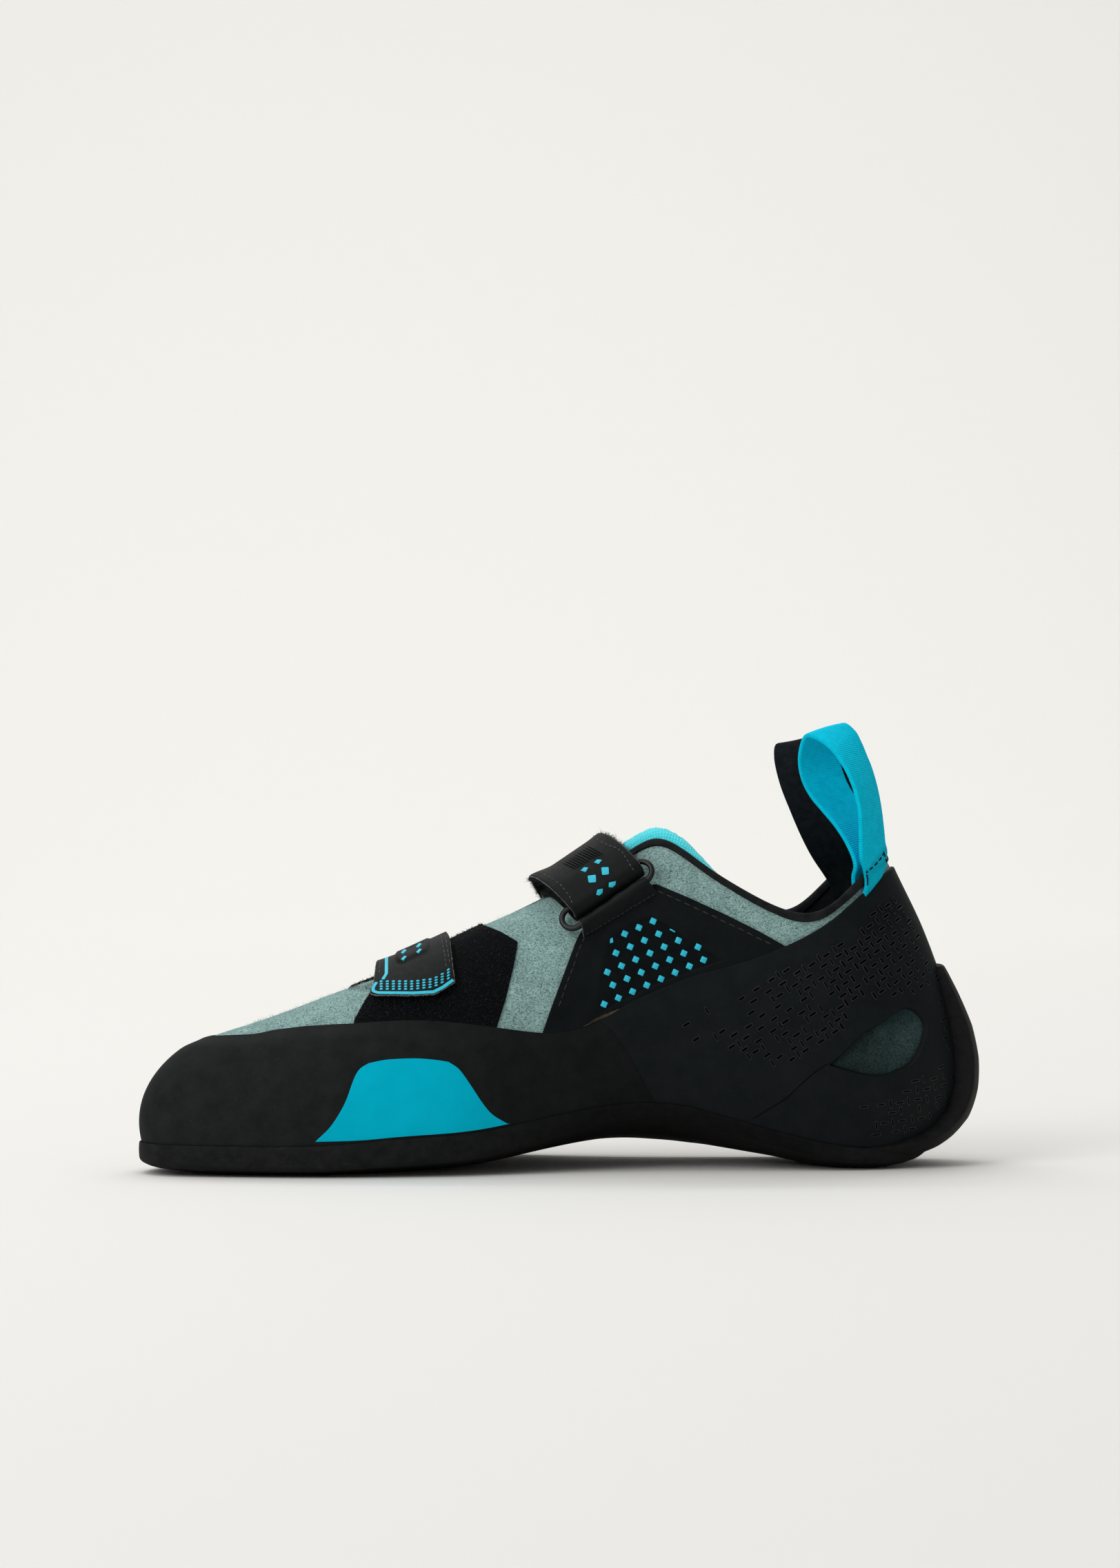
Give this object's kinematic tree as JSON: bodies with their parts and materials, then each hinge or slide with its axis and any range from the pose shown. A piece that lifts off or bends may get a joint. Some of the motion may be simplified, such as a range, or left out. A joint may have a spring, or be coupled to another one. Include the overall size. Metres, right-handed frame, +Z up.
{
  "type": "climbing shoe",
  "caption": "Right rock climbing shoe with a suede upper, rubber rands and sole, two hook-and-loop straps and two heel pull loops.",
  "frame": {"origin": "under the middle of the shoe's box, on the floor plane of the sole's flat spots", "axes": "+X to the toe, +Y to the medial side, +Z up"},
  "size_m": [0.2672, 0.0902, 0.1401],
  "materials": {
    "sole_rubber": "matt",
    "rand_rubber": "matt",
    "suede": "napped",
    "board": "matt",
    "knit": "knitted",
    "strap_synthetic": "grained",
    "ring_plastic": "satin",
    "turquoise_webbing": "woven",
    "black_webbing": "woven"
  },
  "bodies": {
    "root": {"outsole": "sole_rubber", "insole": "board", "upper": "suede", "toe_rand": "rand_rubber", "heel_rand": "rand_rubber", "tongue": "knit", "lower_strap": "strap_synthetic", "upper_strap": "strap_synthetic", "ring_tab": "strap_synthetic", "strap_ring": "ring_plastic", "pull_loop_medial": "turquoise_webbing", "pull_loop_lateral": "black_webbing"}
  },
  "joints": []
}
